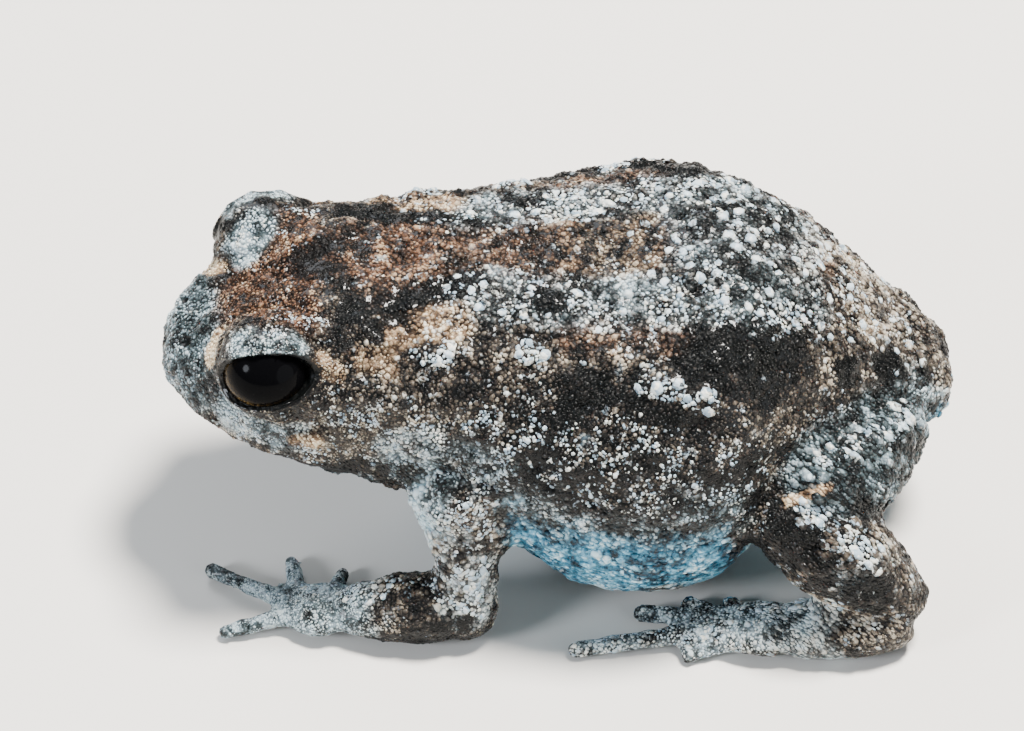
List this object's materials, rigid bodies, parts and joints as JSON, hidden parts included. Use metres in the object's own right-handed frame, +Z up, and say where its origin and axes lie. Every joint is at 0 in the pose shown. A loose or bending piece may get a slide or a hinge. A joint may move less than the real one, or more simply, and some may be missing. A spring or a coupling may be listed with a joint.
{
  "type": "western brood frog",
  "caption": "Life-size crouching toadlet with a broad granular body, blunt snout, domed eyes, slim unwebbed fingers and folded hind legs, for standing on a flat surface.",
  "frame": {"origin": "middle of the footprint, on the floor", "axes": "-Y the way the frog faces, +X its left side, +Z up"},
  "size_m": [0.018, 0.026, 0.0119],
  "materials": {
    "back_skin": "wet granular skin",
    "limb_skin": "wet granular skin",
    "eye_black": "wet and glossy"
  },
  "bodies": {
    "root": {"head": "back_skin", "torso": "back_skin", "eye_left": "eye_black", "eye_right": "eye_black", "upper_arm_left": "limb_skin", "upper_arm_right": "limb_skin", "forearm_left": "limb_skin", "forearm_right": "limb_skin", "hand_left": "limb_skin", "hand_right": "limb_skin", "thigh_left": "limb_skin", "thigh_right": "limb_skin", "shank_left": "limb_skin", "shank_right": "limb_skin", "tarsus_left": "limb_skin", "tarsus_right": "limb_skin", "foot_left": "limb_skin", "foot_right": "limb_skin"}
  },
  "joints": []
}
